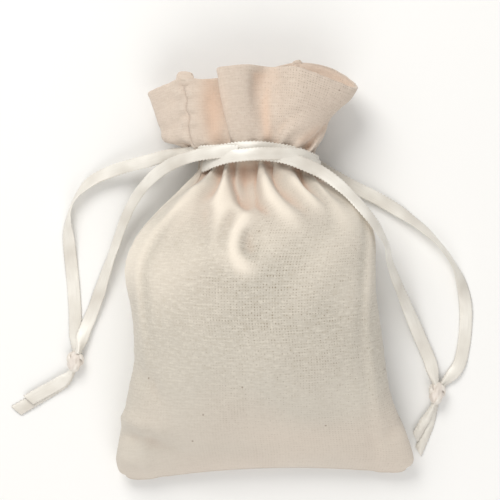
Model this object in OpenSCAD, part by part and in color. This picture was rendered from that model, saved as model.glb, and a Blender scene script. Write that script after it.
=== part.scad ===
// Small cotton drawstring sack, filled and lying on its back.
// X runs across the sack, Y from its bottom seam to its mouth, Z up from the surface it lies on.

/* [Cloth] */
// Thickness of one layer of the cloth solids
cloth_t = 0.9; // [0.6:0.1:1.1]
// Clearance between neighbouring layers
layer_gap = 0.1; // [0.05:0.05:0.3]
// Width of the seam allowance inside the body
allowance_w = 5; // [3:0.5:6]

/* [Ribbon] */
// Width of the satin ribbon
ribbon_w = 3.2; // [2.4:0.1:3.4]
// Thickness of the ribbon solids
ribbon_t = 0.4; // [0.3:0.1:0.5]
// Clearance under each ribbon turn at the neck
turn_gap = 0.15; // [0.1:0.05:0.25]
// Diameter of the sewing thread
thread_d = 0.4; // [0.3:0.1:0.5]

/* [Resolution] */
// Rings between two stations of the sack
ring_steps = 3; // [2:1:4]
// Points across one panel
panel_steps = 24; // [16:4:28]

/* [Hidden] */

muslin = [0.90, 0.84, 0.75];
thread_white = [0.96, 0.94, 0.90];
satin = [0.97, 0.96, 0.92];

// Stations along the sack, from the bottom seam to the rim of the mouth. Each holds:
// y of its sides, left x, right x, underside z, side seam z, top z, how far its middle
// stands further along Y than its sides, and how far the seams are turned round the axis.
Y = 0; LEFT = 1; RIGHT = 2; BACK = 3; SEAM = 4; FRONT = 5; BOW = 6; TWIST = 7;
stations = [
  [-48.6, -35.5, 35.6,  2.1,  3.0,  3.9,  3.8,  0],
  [-44.5, -36.0, 36.0,  0.4,  4.5,  9.5,  3.0,  0],
  [-38.0, -35.2, 33.5, -1.5,  6.5, 15.0,  2.0,  0],
  [-30.0, -33.0, 30.2, -2.5,  9.0, 21.0,  1.0,  0],
  [-20.0, -31.2, 28.0, -3.0, 11.5, 26.0,  0.4,  0],
  [ -8.0, -31.8, 26.2, -3.0, 13.0, 29.0,  0.0,  0],
  [  2.0, -32.8, 26.0, -3.0, 13.0, 30.0,  0.0,  2],
  [ 10.0, -30.0, 25.8, -2.5, 12.5, 28.5,  0.0,  6],
  [ 16.0, -25.5, 23.8, -1.2, 11.5, 25.0,  0.0, 12],
  [ 21.0, -20.5, 18.5,  1.2, 10.5, 20.0,  0.0, 18],
  [ 24.5, -16.2, 13.6,  3.4,  9.6, 16.0,  0.0, 23],
  [ 28.5, -16.2, 13.6,  3.4,  9.6, 16.0,  0.0, 25],
  [ 32.5, -16.2, 13.6,  3.4,  9.6, 16.0,  0.0, 28],
  [ 36.0, -20.5, 16.0,  1.6,  9.5, 17.5,  1.2, 36],
  [ 40.0, -26.0, 18.5,  0.4,  9.5, 18.5,  3.2, 44],
  [ 44.0, -27.8, 20.6, -1.0, 10.0, 19.0,  5.7, 50]
];
rim = len(stations) - 1;
neck_low = 10;
neck_mid = 11;
neck_high = 12;
bottom_tilt = 1.1;     // the right bottom corner lies further up than the left one
side_roundness = 0.85; // below 1 the sides of a section are fuller than an ellipse

// Ribbon routes. Each point is x, y, z, and the turn of the ribbon about its own line.
left_front_route = [
  [-6.5, 29.4, 18.5, 0], [-9, 29.4, 18.1, 0], [-13, 29.1, 16.9, 0], [-17.6, 28.3, 14.2, -10],
  [-23, 26.3, 10.4, -20], [-27.5, 23, 7.6, -25], [-31, 18.8, 5.4, -35], [-33.8, 13.4, 3.6, -45],
  [-36, 7.4, 2.4, -45], [-38.2, 1.2, 1.7, -40], [-40.2, -4.8, 1.1, -25], [-42, -9.6, 0.75, -12],
  [-43.4, -13, 0.95, -4], [-44.3, -15.9, 1.6, 0], [-45, -18.8, 2.7, 0]
];
left_back_route = [
  [-7, 29.5, 17.5, 0], [-11, 29.4, 16.6, 0], [-15, 29.4, 14.6, 0], [-19, 29.3, 11.1, -10],
  [-23.5, 28.7, 8.2, -20], [-28.5, 27.4, 6, -12], [-33.5, 26.2, 4.2, -10], [-38, 24.7, 2.9, -20],
  [-41.8, 22.8, 2.2, -40], [-44.8, 20, 2, -62], [-46.7, 16.6, 1.9, -75], [-47.4, 12.4, 1.6, -50],
  [-47.2, 8, 0.9, -20], [-46.7, 3, 0.4, 0], [-46.2, -2.5, 0.35, 0], [-45.8, -8, 0.35, 0],
  [-45.7, -13, 0.4, 0], [-45.6, -18.8, 1, 0]
];
right_front_route = [
  [-4.5, 28.8, 17.8, 0], [0, 28.7, 17.8, 0], [4.5, 28, 17.6, 4], [9, 26.4, 16.8, 10],
  [12.9, 24.6, 16, 16],
  [16.4, 22.2, 16.7, 24], [19.9, 19, 17.9, 34], [23.1, 15.4, 18.9, 42], [25.9, 11.8, 18.1, 50],
  [28.2, 8, 15.2, 60], [29.6, 2.6, 10.6, 55], [32.6, -4.4, 6, 35], [35.5, -11, 2.8, 18],
  [37.8, -16.2, 1.2, 8], [39.6, -20.6, 1.2, 0], [41, -26.5, 2.7, 0]
];
right_back_route = [
  [3, 27.6, 1.6, 0], [8, 27.6, 1.6, 0], [12.5, 26.4, 1.6, 0], [16.5, 24, 1.6, 0],
  [21.5, 21.3, 1.7, 0], [27.5, 18.3, 1.5, 10], [33, 15, 1.4, 25], [38, 11.3, 1.7, 50],
  [42, 7.4, 2, 72], [45, 3.2, 1.8, 60], [47, -1.4, 1.2, 35], [48.1, -6.6, 0.6, 10],
  [48.2, -12, 0.35, 0], [47.6, -17.4, 0.35, 0], [46.2, -22, 0.5, 0], [42, -26.6, 1, 0]
];
left_front_tail_route = [
  [-45.8, -22.2, 1.8, 0], [-47.8, -24.4, 1.4, 0], [-50.6, -26.3, 1, 0], [-53.6, -27.9, 0.95, 0],
  [-57, -29.8, 0.95, 0]
];
left_back_tail_route = [
  [-45.9, -22.4, 1, 0], [-48, -25, 0.4, 0], [-51.2, -27.2, 0.3, 0], [-55.6, -29.8, 0.3, 0],
  [-60, -32.4, 0.3, 0]
];
right_front_tail_route = [
  [40.8, -30.2, 1.8, 0], [39.4, -33, 1.3, 0], [37.8, -35.6, 1, 0], [36, -38.8, 0.95, 0]
];
right_back_tail_route = [
  [41.1, -30.4, 1, 0], [40.2, -33.4, 0.4, 0], [39, -37, 0.3, 0], [36.8, -42.2, 0.3, 0]
];
left_knot_at = [-45.3, -20.7, 2.0];
right_knot_at = [41, -28.4, 2.0];
knot_r = 1.9;
knot_l = 4.8;

function lerp(a, b, t) = a + (b - a) * t;
function clamp(i, low, high) = max(low, min(high, i));

// A station at any place v along the list, on a smooth curve through the rows.
function station(v) =
  let (i = clamp(floor(v), 0, rim - 1), t = v - i,
       a = stations[clamp(i - 1, 0, rim)], b = stations[i],
       c = stations[i + 1], d = stations[clamp(i + 2, 0, rim)])
  b + 0.5 * t * ((c - a) + t * ((2 * a - 5 * b + 4 * c - d) + t * (3 * (b - c) + d - a)));

// A point of the sack's section: v along it, phi round it from the right side, and how far
// outside the cloth's outer face. The underside is flat where it lies on the surface.
function sack_point(v, phi, off = 0) =
  let (s = station(v), half = (s[RIGHT] - s[LEFT]) / 2 + off, u = cos(phi), side = sin(phi),
       rise = side >= 0 ? s[FRONT] + off - s[SEAM] : s[SEAM] - s[BACK] + off,
       z = s[SEAM] + sign(side) * rise * pow(abs(side), side_roundness))
  [(s[RIGHT] + s[LEFT]) / 2 + half * u,
   s[Y] + s[BOW] * (1 - u * u) + bottom_tilt * u * max(0, -s[Y]) / 50,
   max(z, -off)];

function right_seam_phi(v) = -station(v)[TWIST];
function left_seam_phi(v) = 180 - station(v)[TWIST];

// Triangles of a closed skin between two grids of points, each of rows by columns.
function grid_faces(rows, cols, start, flip) = [
  for (i = [0 : rows - 2], j = [0 : cols - 2])
    let (a = start + i * cols + j, b = a + 1, c = a + cols, d = c + 1)
    each flip ? [[a, b, d], [a, d, c]] : [[a, d, b], [a, c, d]]
];
function edge_faces(edge, shift) = [
  for (k = [0 : len(edge) - 2])
    let (a = edge[k], b = edge[k + 1])
    each [[a, b, b + shift], [a, b + shift, a + shift]]
];
module skin(outer, inner) {
  rows = len(outer);
  cols = len(outer[0]);
  n = rows * cols;
  round_it = concat(
    [for (j = [0 : cols - 1]) j],
    [for (i = [1 : rows - 1]) i * cols + cols - 1],
    [for (j = [cols - 2 : -1 : 0]) (rows - 1) * cols + j],
    [for (i = [rows - 2 : -1 : 0]) i * cols]
  );
  polyhedron(
    points = [for (grid = [outer, inner], row = grid, p = row) p],
    faces = concat(grid_faces(rows, cols, 0, true), grid_faces(rows, cols, n, false),
                   [for (f = edge_faces(round_it, n)) [f[2], f[1], f[0]]])
  );
}

// One layer of cloth between two stations, on the front or the back half of the sack.
module cloth(from, to, is_front, off_out, off_in, side_gap = 0) {
  rows = round((to - from) * ring_steps);
  function layer(off) = [
    for (i = [0 : rows])
      let (v = lerp(from, to, i / rows), start = is_front ? right_seam_phi(v) : left_seam_phi(v))
      [for (j = [0 : panel_steps])
        sack_point(v, start + lerp(side_gap, 180 - side_gap, j / panel_steps), off)]
  ];
  skin(layer(off_out), layer(off_in));
}

// A flat strip between two polylines of the same length, of the given thickness along Z.
module strip(edge_a, edge_b, thick) {
  top = [for (i = [0 : len(edge_a) - 1]) [edge_a[i] + [0, 0, thick / 2], edge_b[i] + [0, 0, thick / 2]]];
  under = [for (i = [0 : len(edge_a) - 1]) [edge_a[i] - [0, 0, thick / 2], edge_b[i] - [0, 0, thick / 2]]];
  skin(top, under);
}

// A ribbon swept along its route, one ring of 8 points at each of the route's points.
function unit(a) = a / norm(a);
function xyz(p) = [p[0], p[1], p[2]];
function along(route, i) =
  unit(xyz(route[min(i + 1, len(route) - 1)]) - xyz(route[max(i - 1, 0)]));
function ribbon_ring(route, i) =
  let (t = along(route, i), flat = unit(cross(t, [0, 0, 1])), up = cross(flat, t),
       turn = route[i][3], side = flat * cos(turn) + up * sin(turn), face = cross(side, t),
       w = ribbon_w / 2, h = ribbon_t / 2)
  [for (k = [[1, 0.5], [0.8, 1], [-0.8, 1], [-1, 0.5], [-1, -0.5], [-0.8, -1], [0.8, -1], [1, -0.5]])
    xyz(route[i]) + side * w * k[0] + face * h * k[1]];
module ribbon(route) {
  n = len(route);
  polyhedron(
    points = [for (i = [0 : n - 1], p = ribbon_ring(route, i)) p],
    faces = concat(
      [[for (k = [0 : 7]) k], [for (k = [7 : -1 : 0]) (n - 1) * 8 + k]],
      [for (i = [0 : n - 2], k = [0 : 7])
        let (a = i * 8 + k, b = i * 8 + (k + 1) % 8)
        each [[a, a + 8, b], [b, a + 8, b + 8]]])
  );
}

module front_panel() { color(muslin) cloth(0, rim, true, 0, -cloth_t); }
module back_panel() { color(muslin) cloth(0, rim, false, 0, -cloth_t); }

facing_out = -cloth_t - layer_gap;
facing_in = -2 * cloth_t - layer_gap;
module front_hem_facing() { color(muslin) cloth(neck_high, rim, true, facing_out, facing_in, 2); }
module back_hem_facing() { color(muslin) cloth(neck_high, rim, false, facing_out, facing_in, 2); }

// A point inside the sack, beside one side seam: how far in from the cloth's inner face, and
// how far above or below the seam.
allowance_start = 0.8;
allowance_steps = 24;
side_room = 0.5;
function beside_seam(v, side, in_by, up) =
  let (p = sack_point(v, side > 0 ? right_seam_phi(v) : left_seam_phi(v), -cloth_t - side_room))
  [p[0] - side * in_by, p[1], p[2] + up];
function allowance_end_w(v) = v < neck_low - 2 ? allowance_w : allowance_w * 0.5;
module side_allowance(side) {
  places = [for (i = [0 : allowance_steps]) lerp(allowance_start, neck_low - 0.5, i / allowance_steps)];
  color(muslin)
    strip([for (v = places) beside_seam(v, side, 0, 0)],
          [for (v = places) beside_seam(v, side, allowance_end_w(v), 0)], 0.5);
}
module left_seam_allowance() { side_allowance(-1); }
module right_seam_allowance() { side_allowance(1); }

// Strip inside along the bottom seam, clear of both side allowances.
bottom_in = 2.6;
bottom_steps = 16;
function bottom_point(t, in_by, up) =
  let (phi = lerp(32, 148, t), p = sack_point(0, phi, -cloth_t)) [p[0], p[1] + in_by, p[2] + up];
module bottom_seam_allowance() {
  color(muslin)
    strip([for (i = [0 : bottom_steps]) bottom_point(i / bottom_steps, bottom_in, 0.9)],
          [for (i = [0 : bottom_steps]) bottom_point(i / bottom_steps, bottom_in + allowance_w - 1, 1.6)],
          0.5);
}

// Sewing thread lying on an allowance, beside the seam.
thread_up = 0.25 + thread_d / 2 + 0.02;
module side_stitching(side) {
  places = [for (i = [0 : allowance_steps]) lerp(allowance_start + 0.3, neck_low - 0.8, i / allowance_steps)];
  color(thread_white)
    strip([for (v = places) beside_seam(v, side, 1.2, thread_up)],
          [for (v = places) beside_seam(v, side, 1.2 + thread_d, thread_up)], thread_d);
}
module left_side_stitching() { side_stitching(-1); }
module right_side_stitching() { side_stitching(1); }
module bottom_stitching() {
  thread_z = 1.1 + thread_up;
  color(thread_white)
    strip([for (i = [1 : bottom_steps - 1]) bottom_point(i / bottom_steps, bottom_in + 0.5, thread_z)],
          [for (i = [1 : bottom_steps - 1])
            bottom_point(i / bottom_steps, bottom_in + 0.5 + thread_d, thread_z)],
          thread_d);
}

// A band of the given width round part of the neck, standing off the cloth.
band_steps = 48;
module neck_band(y_low, wide, from, to, off_in, off_out) {
  function row(y, off) = [
    for (j = [0 : band_steps])
      let (p = sack_point(neck_mid, lerp(from, to, j / band_steps), off)) [p[0], y, p[2]]
  ];
  skin([row(y_low, off_out), row(y_low + wide, off_out)], [row(y_low, off_in), row(y_low + wide, off_in)]);
}
hem_stitch_y = 31.9;
module front_hem_stitching() {
  color(thread_white)
    neck_band(hem_stitch_y, thread_d, -23, 151, 0.02, thread_d + 0.02);
}
module back_hem_stitching() {
  color(thread_white)
    neck_band(hem_stitch_y, thread_d, 157, 331, 0.02, thread_d + 0.02);
}

// The bulky end of a side seam, standing up at the rim between cloth and facing.
tab_w = 3.4;
tab_h = 1.8;
tab_t = 1.6;
module seam_tab(phi) {
  p = sack_point(rim, phi, -cloth_t);
  color(muslin)
    translate([p[0], p[1] + 0.5, p[2]]) rotate([-90, 0, 0])
      intersection() {
        linear_extrude(tab_h) square([tab_w, tab_t], center = true);
        rotate([90, 0, 0]) translate([0, 0, -tab_t]) cylinder(h = 2 * tab_t, r = tab_h, $fn = 48);
      }
}
module left_seam_tab() { seam_tab(left_seam_phi(rim)); }
module right_seam_tab() { seam_tab(right_seam_phi(rim)); }

// The turn that each ribbon makes right round the gathered neck. The left ribbon lies on the
// cloth and the right one lies over it, a little nearer the body.
module neck_turn(y_low, off) {
  angles = [for (j = [0 : 2 * band_steps - 1]) 180 * j / band_steps];
  color(satin)
    translate([0, y_low + ribbon_w, 0]) rotate([90, 0, 0]) linear_extrude(ribbon_w) difference() {
      polygon([for (phi = angles) let (p = sack_point(neck_mid, phi, off + ribbon_t)) [p[0], p[2]]]);
      polygon([for (phi = angles) let (p = sack_point(neck_mid, phi, off)) [p[0], p[2]]]);
    }
}
module left_ribbon_neck_turn() { neck_turn(28.0, turn_gap); }
module right_ribbon_neck_turn() { neck_turn(27.2, 2 * turn_gap + ribbon_t); }

module left_ribbon_front_strand() { color(satin) ribbon(left_front_route); }
module left_ribbon_back_strand() { color(satin) ribbon(left_back_route); }
module right_ribbon_front_strand() { color(satin) ribbon(right_front_route); }
module right_ribbon_back_strand() { color(satin) ribbon(right_back_route); }
module left_front_tail() { color(satin) ribbon(left_front_tail_route); }
module left_back_tail() { color(satin) ribbon(left_back_tail_route); }
module right_front_tail() { color(satin) ribbon(right_front_tail_route); }
module right_back_tail() { color(satin) ribbon(right_back_tail_route); }

// An overhand knot's outer shape, its long axis along Y.
module knot(place) {
  color(satin)
    translate(place) rotate([90, 0, 0]) rotate_extrude($fn = 32)
      polygon([for (a = [-90 : 15 : 90]) [knot_r * cos(a), knot_l / 2 * sin(a)]]);
}
module left_knot() { knot(left_knot_at); }
module right_knot() { knot(right_knot_at); }

front_panel();
back_panel();
front_hem_facing();
back_hem_facing();
left_seam_allowance();
right_seam_allowance();
bottom_seam_allowance();
left_side_stitching();
right_side_stitching();
bottom_stitching();
front_hem_stitching();
back_hem_stitching();
left_seam_tab();
right_seam_tab();
left_ribbon_neck_turn();
right_ribbon_neck_turn();
left_ribbon_front_strand();
left_ribbon_back_strand();
left_knot();
left_front_tail();
left_back_tail();
right_ribbon_front_strand();
right_ribbon_back_strand();
right_knot();
right_front_tail();
right_back_tail();
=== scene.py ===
"""Looks for a small drawstring sack of muslin lying on its back, tied with two satin ribbons."""

import math

import bpy
import numpy as np
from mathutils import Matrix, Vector


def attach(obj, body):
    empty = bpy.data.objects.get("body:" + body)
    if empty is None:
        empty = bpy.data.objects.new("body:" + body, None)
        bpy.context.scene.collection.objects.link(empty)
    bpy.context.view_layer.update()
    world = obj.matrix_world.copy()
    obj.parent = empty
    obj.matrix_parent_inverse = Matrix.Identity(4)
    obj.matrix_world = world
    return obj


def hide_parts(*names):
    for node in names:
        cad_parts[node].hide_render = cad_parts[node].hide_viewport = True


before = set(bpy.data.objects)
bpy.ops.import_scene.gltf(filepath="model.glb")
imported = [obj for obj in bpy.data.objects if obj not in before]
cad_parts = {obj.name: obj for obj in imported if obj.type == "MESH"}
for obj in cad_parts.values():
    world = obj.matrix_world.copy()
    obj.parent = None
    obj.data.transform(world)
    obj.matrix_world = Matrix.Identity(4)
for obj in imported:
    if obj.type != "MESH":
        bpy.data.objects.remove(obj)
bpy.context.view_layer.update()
MM = 0.001


# ------------------------------------------------------------------ the sack's guide shape, in mm
# y, left x, right x, lowest z, z of the sides, highest z, bow of the edge, turn of the seams in degrees
STATIONS = np.array([
    [-48.6, -35.5, 35.6, 2.1, 3, 3.9, 2.7, 0],
    [-44.5, -36, 36, 0.4, 4.5, 9.5, 3, 0],
    [-38, -35.2, 33.5, -1.5, 6.5, 15, 2, 0],
    [-30, -33, 30.2, -2.5, 9, 21, 1, 0],
    [-20, -31.2, 28, -3, 11.5, 26, 0.4, 0],
    [-8, -31.8, 26.2, -3, 13, 29, 0, 0],
    [2, -32.8, 26, -3, 13, 30, 0, 2],
    [10, -30, 25.8, -2.5, 12.5, 28.5, 0, 6],
    [16, -25.5, 23.8, -1.2, 11.5, 25, 0, 12],
    [21, -20.5, 18.5, 1.2, 10.5, 20, 0, 18],
    [24.5, -17.4, 13.8, 3.4, 9.6, 16, 0, 23],
    [28.5, -16.2, 13.6, 3.4, 9.6, 16, 0, 25],
    [32.5, -16.2, 13.6, 3.4, 9.6, 16, 0, 28],
])
NECK_V = 11
NECK_LEFT, NECK_RIGHT, _, NECK_SIDE_Z = STATIONS[NECK_V, 1:5]
NECK_X, NECK_HALF = (NECK_LEFT + NECK_RIGHT) / 2, (NECK_RIGHT - NECK_LEFT) / 2


def smooth(x):
    x = np.clip(x, 0, 1)
    return x * x * (3 - 2 * x)


def unit(n):
    return n / np.maximum(np.linalg.norm(n, axis=-1, keepdims=True), 1e-9)


def catmull(a, b, c, d, t):
    """The place a share t of the way from b to c, on the Catmull-Rom curve through the four."""
    return b + 0.5 * t * ((c - a) + t * ((2 * a - 5 * b + 4 * c - d) + t * (3 * (b - c) + d - a)))


def lengths_along(line):
    """How far along its line each point lies."""
    return np.r_[0, np.cumsum(np.linalg.norm(np.diff(line, axis=0), axis=1))]


def at_lengths(want, lengths, line):
    """The line's values at the wanted lengths."""
    return np.stack([np.interp(want, lengths, line[:, k]) for k in range(line.shape[1])], -1)


def station(v):
    i = np.clip(np.floor(v).astype(int), 0, len(STATIONS) - 2)
    before, after = STATIONS[np.maximum(i - 1, 0)], STATIONS[np.minimum(i + 2, len(STATIONS) - 1)]
    return catmull(before, STATIONS[i], STATIONS[i + 1], after, (v - i)[..., None])


def sack_point(v, phi, off=0.0):
    """Points of the guide shape: v along the stations, phi round from the right side in radians."""
    s = station(v)
    u, side = np.cos(phi), np.sin(phi)
    half = (s[..., 2] - s[..., 1]) / 2 + off
    rise = np.where(side >= 0, s[..., 5] - s[..., 4], s[..., 4] - s[..., 3]) + off
    z = s[..., 4] + np.sign(side) * rise * np.abs(side) ** 0.85
    y = s[..., 0] + s[..., 6] * (1 - u * u) + 1.1 * u * np.maximum(0, -s[..., 0]) / 50
    return np.stack([(s[..., 1] + s[..., 2]) / 2 + half * u, y, np.maximum(z, -off)], -1)


def neck_x(phi):
    return NECK_X + NECK_HALF * np.cos(phi)


def neck_shift(x):
    """How far the gathers draw the neck's right side in from the stations, in mm."""
    return 1.2 * smooth((x - 5) / 8)


def neck_angle(x):
    """The angle over the front of the neck, in degrees from its right side, at which it reaches x."""
    return np.degrees(np.arccos(np.clip((x - NECK_X) / (NECK_HALF + 0.4), -1, 1)))


def round_angles(n):
    return np.linspace(0, 2 * math.pi, n + 1)[:-1]


def open_curve(route, step, dims=3):
    """A smooth curve through the route's points, one place every step mm, and the length up to each."""
    p = np.asarray(route, float)
    p = np.vstack([2 * p[0] - p[1], p, 2 * p[-1] - p[-2]])
    t = np.linspace(0, len(route) - 1, 60 * len(route))
    i = np.minimum(t.astype(int), len(route) - 2)
    q = catmull(p[i], p[i + 1], p[i + 2], p[i + 3], (t - i)[:, None])
    s = lengths_along(q[:, :dims])
    want = np.linspace(0, s[-1], max(4, int(round(s[-1] / step)) + 1))
    return at_lengths(want, s, q), want


def closed_curve(points, n=4000):
    """A closed Catmull-Rom curve through the points, n places in all."""
    p = np.asarray(points, float)
    m = len(p)
    t = np.linspace(0, m, n, endpoint=False)
    i = t.astype(int)
    return catmull(p[(i - 1) % m], p[i % m], p[(i + 1) % m], p[(i + 2) % m], (t - i)[:, None])


def spread(curve, start, end, n):
    """n places evenly along the part of a dense closed curve between two of its own points."""
    part = curve[np.arange(start, end) % len(curve)]
    s = lengths_along(part)
    return at_lengths(np.linspace(0, s[-1], n), s, part)


WIDTH = 146.0               # the cloth's width right round the sack
BODY, FRILL = 86.0, 20.5    # lengths of cloth from the bottom seam to the neck, and on to the rim
COLS, ROWS = 240, 130
HALF = COLS // 2
ROW_MM = (BODY + FRILL) / (ROWS - 1)
COL_MM = WIDTH / COLS
NECK = round(BODY / ROW_MM)
FLOOR_Z = 0.3               # no cloth is let closer to the floor while it is shaped

# rim of the mouth: x, y, z, from the right seam over the front to the left seam, then under
RIM_FRONT = [
    (7.7, 50.4, 6.2), (11.4, 50.3, 5.2), (15.4, 49.3, 5.2), (18.9, 47.3, 6.4), (21.4, 45, 9),
    (21.2, 43.9, 11.8), (18.4, 44.8, 14.6), (14.6, 46.2, 16.6), (10.8, 47.6, 18), (7.6, 48.6, 18.6),
    (5.2, 48.9, 17.6), (3.4, 49, 15.6), (1.6, 49, 14.2), (-0.4, 49.1, 14.6), (-2.2, 49.2, 16.4),
    (-4.4, 49.3, 18.2), (-7.6, 49, 19.2), (-10.2, 48.6, 19.4), (-11.6, 48.4, 18.4), (-10.4, 47.8, 16.6),
    (-7.8, 47.2, 15.4), (-7, 46.8, 14), (-8.8, 46.6, 13), (-11.8, 46.4, 13.6), (-15.2, 46, 14.8),
]
RIM_BACK = [
    (-19.4, 46.4, 14.6), (-22.6, 45.4, 12.8), (-25.8, 44.2, 10.8), (-28, 43.2, 8), (-26.2, 43, 5.2),
    (-22.5, 43.8, 2.6), (-19, 44.6, 3.4), (-17.2, 45, 7.4), (-15.4, 45.2, 7.8), (-13.6, 45.4, 3.6),
    (-10.6, 46.4, 1.6), (-7.8, 47.3, 3.6), (-6.2, 48, 7.6), (-4.4, 48.2, 7.7), (-2.6, 48.6, 3.4),
    (0.2, 49.2, 1.6), (3, 49.8, 3.4), (4.9, 50.1, 6.2),
]

# folds of the front: lines of (x, y, depth, half width); a negative depth stands proud
FOLDS = [
    [(-4.9, 27.4, 1.2, 1.8), (-5, 24.5, 2.4, 2.2), (-4.7, 21, 3, 2.4),
     (-4.1, 18.2, 2.7, 2.3), (-3.4, 16.2, 1.2, 2)],
    [(-7.9, 27.2, 1.5, 0.8), (-7.9, 23.8, 2.2, 0.9), (-7.1, 21, 2.6, 1),
     (-5.9, 18.4, 2.4, 1.1), (-4.3, 16, 0.9, 1.1)],
    [(-2.6, 27.2, 1.5, 0.8), (-2.6, 23.4, 2, 0.9), (-2.3, 20.4, 2.2, 1),
     (-1.7, 17.4, 2, 1.1), (0.2, 14.9, 0.6, 1.2)],
    [(0.6, 27, 1.6, 0.8), (2.4, 22.8, 2, 1.2), (4.8, 19.4, 1.7, 1.7), (9.2, 15.4, 0.5, 2.3)],
    [(7.8, 25.8, 1.6, 0.9), (9.8, 22.4, 2.4, 1.4), (11.6, 20.2, 1.5, 1.5), (14.4, 17.2, 0.3, 1.7)],
    [(12, 25, 1.2, 0.9), (15, 21.4, 1.2, 1.4), (18.6, 17.8, 0.4, 1.7)],
    [(-10.6, 26.6, 1.4, 0.8), (-11.2, 23.4, 1.9, 1.1), (-12.6, 20.8, 1.9, 1.5),
     (-14, 19, 1.2, 1.7), (-15.4, 17.2, 0.3, 1.9)],
    [(-13.4, 26.4, 1.5, 0.8), (-15.6, 24.2, 1.5, 1), (-18.4, 21.8, 1.1, 1.5), (-22.4, 18.2, 0.3, 1.9)],
    [(-9.3, 25.2, -0.8, 1), (-9.8, 21, -1.2, 1.6), (-10.6, 17, -1.1, 2.2),
     (-11.6, 13.4, -0.5, 2.6), (-12.4, 10.6, -0.1, 2.8)],
    [(-3.8, 15.6, -0.5, 1.5), (-5, 12.8, -1, 1.7), (-6.7, 9.8, -1.4, 1.9),
     (-7.4, 7.2, -1.5, 2), (-6.9, 4.8, -1.4, 2.3),
     (-5.4, 2.7, -1.1, 2.7), (-3.2, 1.2, -0.4, 2.7)],
    [(-6, 14, -0.3, 2.8), (-8.4, 9.6, -0.7, 3.6), (-8.2, 5, -0.7, 3.8), (-5, 1.6, -0.3, 3.4)],
    [(-7.6, 14.8, 0.7, 1.1), (-8.9, 12.2, 0.9, 1.3), (-9.9, 9.4, 0.7, 1.5), (-9.9, 6.6, 0.2, 1.6)],
    [(-0.9, 25.2, -0.9, 1.1), (0.4, 20.6, -1.5, 1.6), (3.2, 16.6, -1.3, 2.1), (7.2, 12.8, -0.3, 2.5)],
    [(3.6, 25.2, -0.6, 1.1), (7, 21.8, -1, 1.6), (10.4, 18.2, -1, 2.1), (14.2, 15, -0.2, 2.3)],
    [(-4, 9.6, 0.7, 1.4), (-3.8, 7.2, 1.1, 1.7), (-3.2, 5, 0.4, 1.5)],
    [(-14, 15, 0.6, 1.8), (-13.8, 11.6, 0.6, 2), (-13.2, 7.4, 0.15, 2.1)],
    [(-17, 20.4, -0.7, 1.6), (-20, 16.6, -0.7, 2), (-22.6, 12.6, -0.15, 2.3)],
    [(13.4, 19.6, -0.6, 1.5), (16.4, 15.6, -0.7, 2), (19, 11.4, -0.15, 2.2)],
    # soft slanting folds over the left bottom corner, and a fainter one at the right
    [(-30.6, -19.8, 0.4, 1.9), (-28.4, -23.5, 1.1, 2.1),
     (-25.8, -27.6, 1, 2.3), (-22.4, -31.4, 0.2, 2.3)],
    [(-34, -33.2, -0.7, 1.7), (-30, -34.2, -1.1, 1.9),
     (-25, -35.8, -0.9, 2.1), (-20.6, -37.8, -0.2, 2.1)],
    [(-33.6, -37.8, 0.8, 1.5), (-29, -38.8, 1.1, 1.7),
     (-24, -41, 0.7, 1.9), (-19.6, -43, 0.2, 1.9)],
    [(-34, -43.2, -0.5, 1.6), (-30, -44.2, -0.5, 1.8), (-26, -45, -0.1, 1.8)],
    [(33, -33, 0.4, 1.6), (30, -36.6, 0.6, 2), (25.6, -40.4, 0.15, 2.2)],
]
# the same in the open frill
FRILL_FOLDS = [
    [(9.4, 29.8, 1.6, 0.8), (12, 32.4, 1.5, 0.9), (14.6, 35, 1.2, 1), (16.6, 37, 0.5, 1)],
    [(2.6, 31.2, 0.8, 1), (3.6, 35, 0.9, 1.2), (6.2, 37.6, 0.5, 1.4), (9.4, 39, 0.1, 1.4)],
    [(3.6, 33, -0.5, 1.2), (6.2, 34.6, -0.5, 1.2), (9.2, 35.6, -0.1, 1.3)],
    [(-1.6, 47, 1.2, 1.7), (-1.8, 43.4, 1.1, 1.7), (-1.9, 39.4, 0.3, 1.6)],
    [(1.4, 44, -0.5, 1.5), (1.2, 38, -0.9, 1.4), (0.6, 33.4, -0.7, 1.1)],
    [(-22, 41.2, 0.5, 1.8), (-24.4, 40.4, 0.3, 1.8)],
    [(-19.4, 37, 0.4, 1.3), (-22, 36, 0.35, 1.5)],
    [(-13.4, 40.4, 0.4, 1.6), (-12.6, 35.6, 0.5, 1.5)],
]
# where light coming through a single layer of the frill is painted as a warm glow
GLOWS = [
    [(-13.2, 45.5, 0.5, 2.2), (-12.6, 40, 0.8, 2.6), (-12, 33, 0.7, 2)],
    [(0.4, 45, 0.3, 1.1), (-0.2, 40, 0.6, 1.4), (0.4, 33, 0.7, 1.1)],
    [(8.6, 31.8, 0.5, 1), (11, 33.6, 0.5, 1.2), (14, 35.6, 0.2, 1.3)],
]


def fold_depth(p, n, folds):
    """How deep each place of the cloth lies in the folds drawn for the front."""
    deep, proud = np.zeros(p.shape[:-1]), np.zeros(p.shape[:-1])
    for line in folds:
        out = np.zeros(p.shape[:-1])
        for x, y, depth, wide in open_curve(line, 0.5, 2)[0]:
            here = depth * np.exp(-(((p[..., 0] - x) ** 2 + (p[..., 1] - y) ** 2) / wide ** 2))
            out = np.where(np.abs(here) > np.abs(out), here, out)
        if line[1][2] > 0:
            deep = np.maximum(deep, out) + 0.35 * np.minimum(deep, out)
        else:
            proud = np.minimum(proud, out)
    return (deep + proud) * smooth((n[..., 2] + 0.1) / 0.4)


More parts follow.
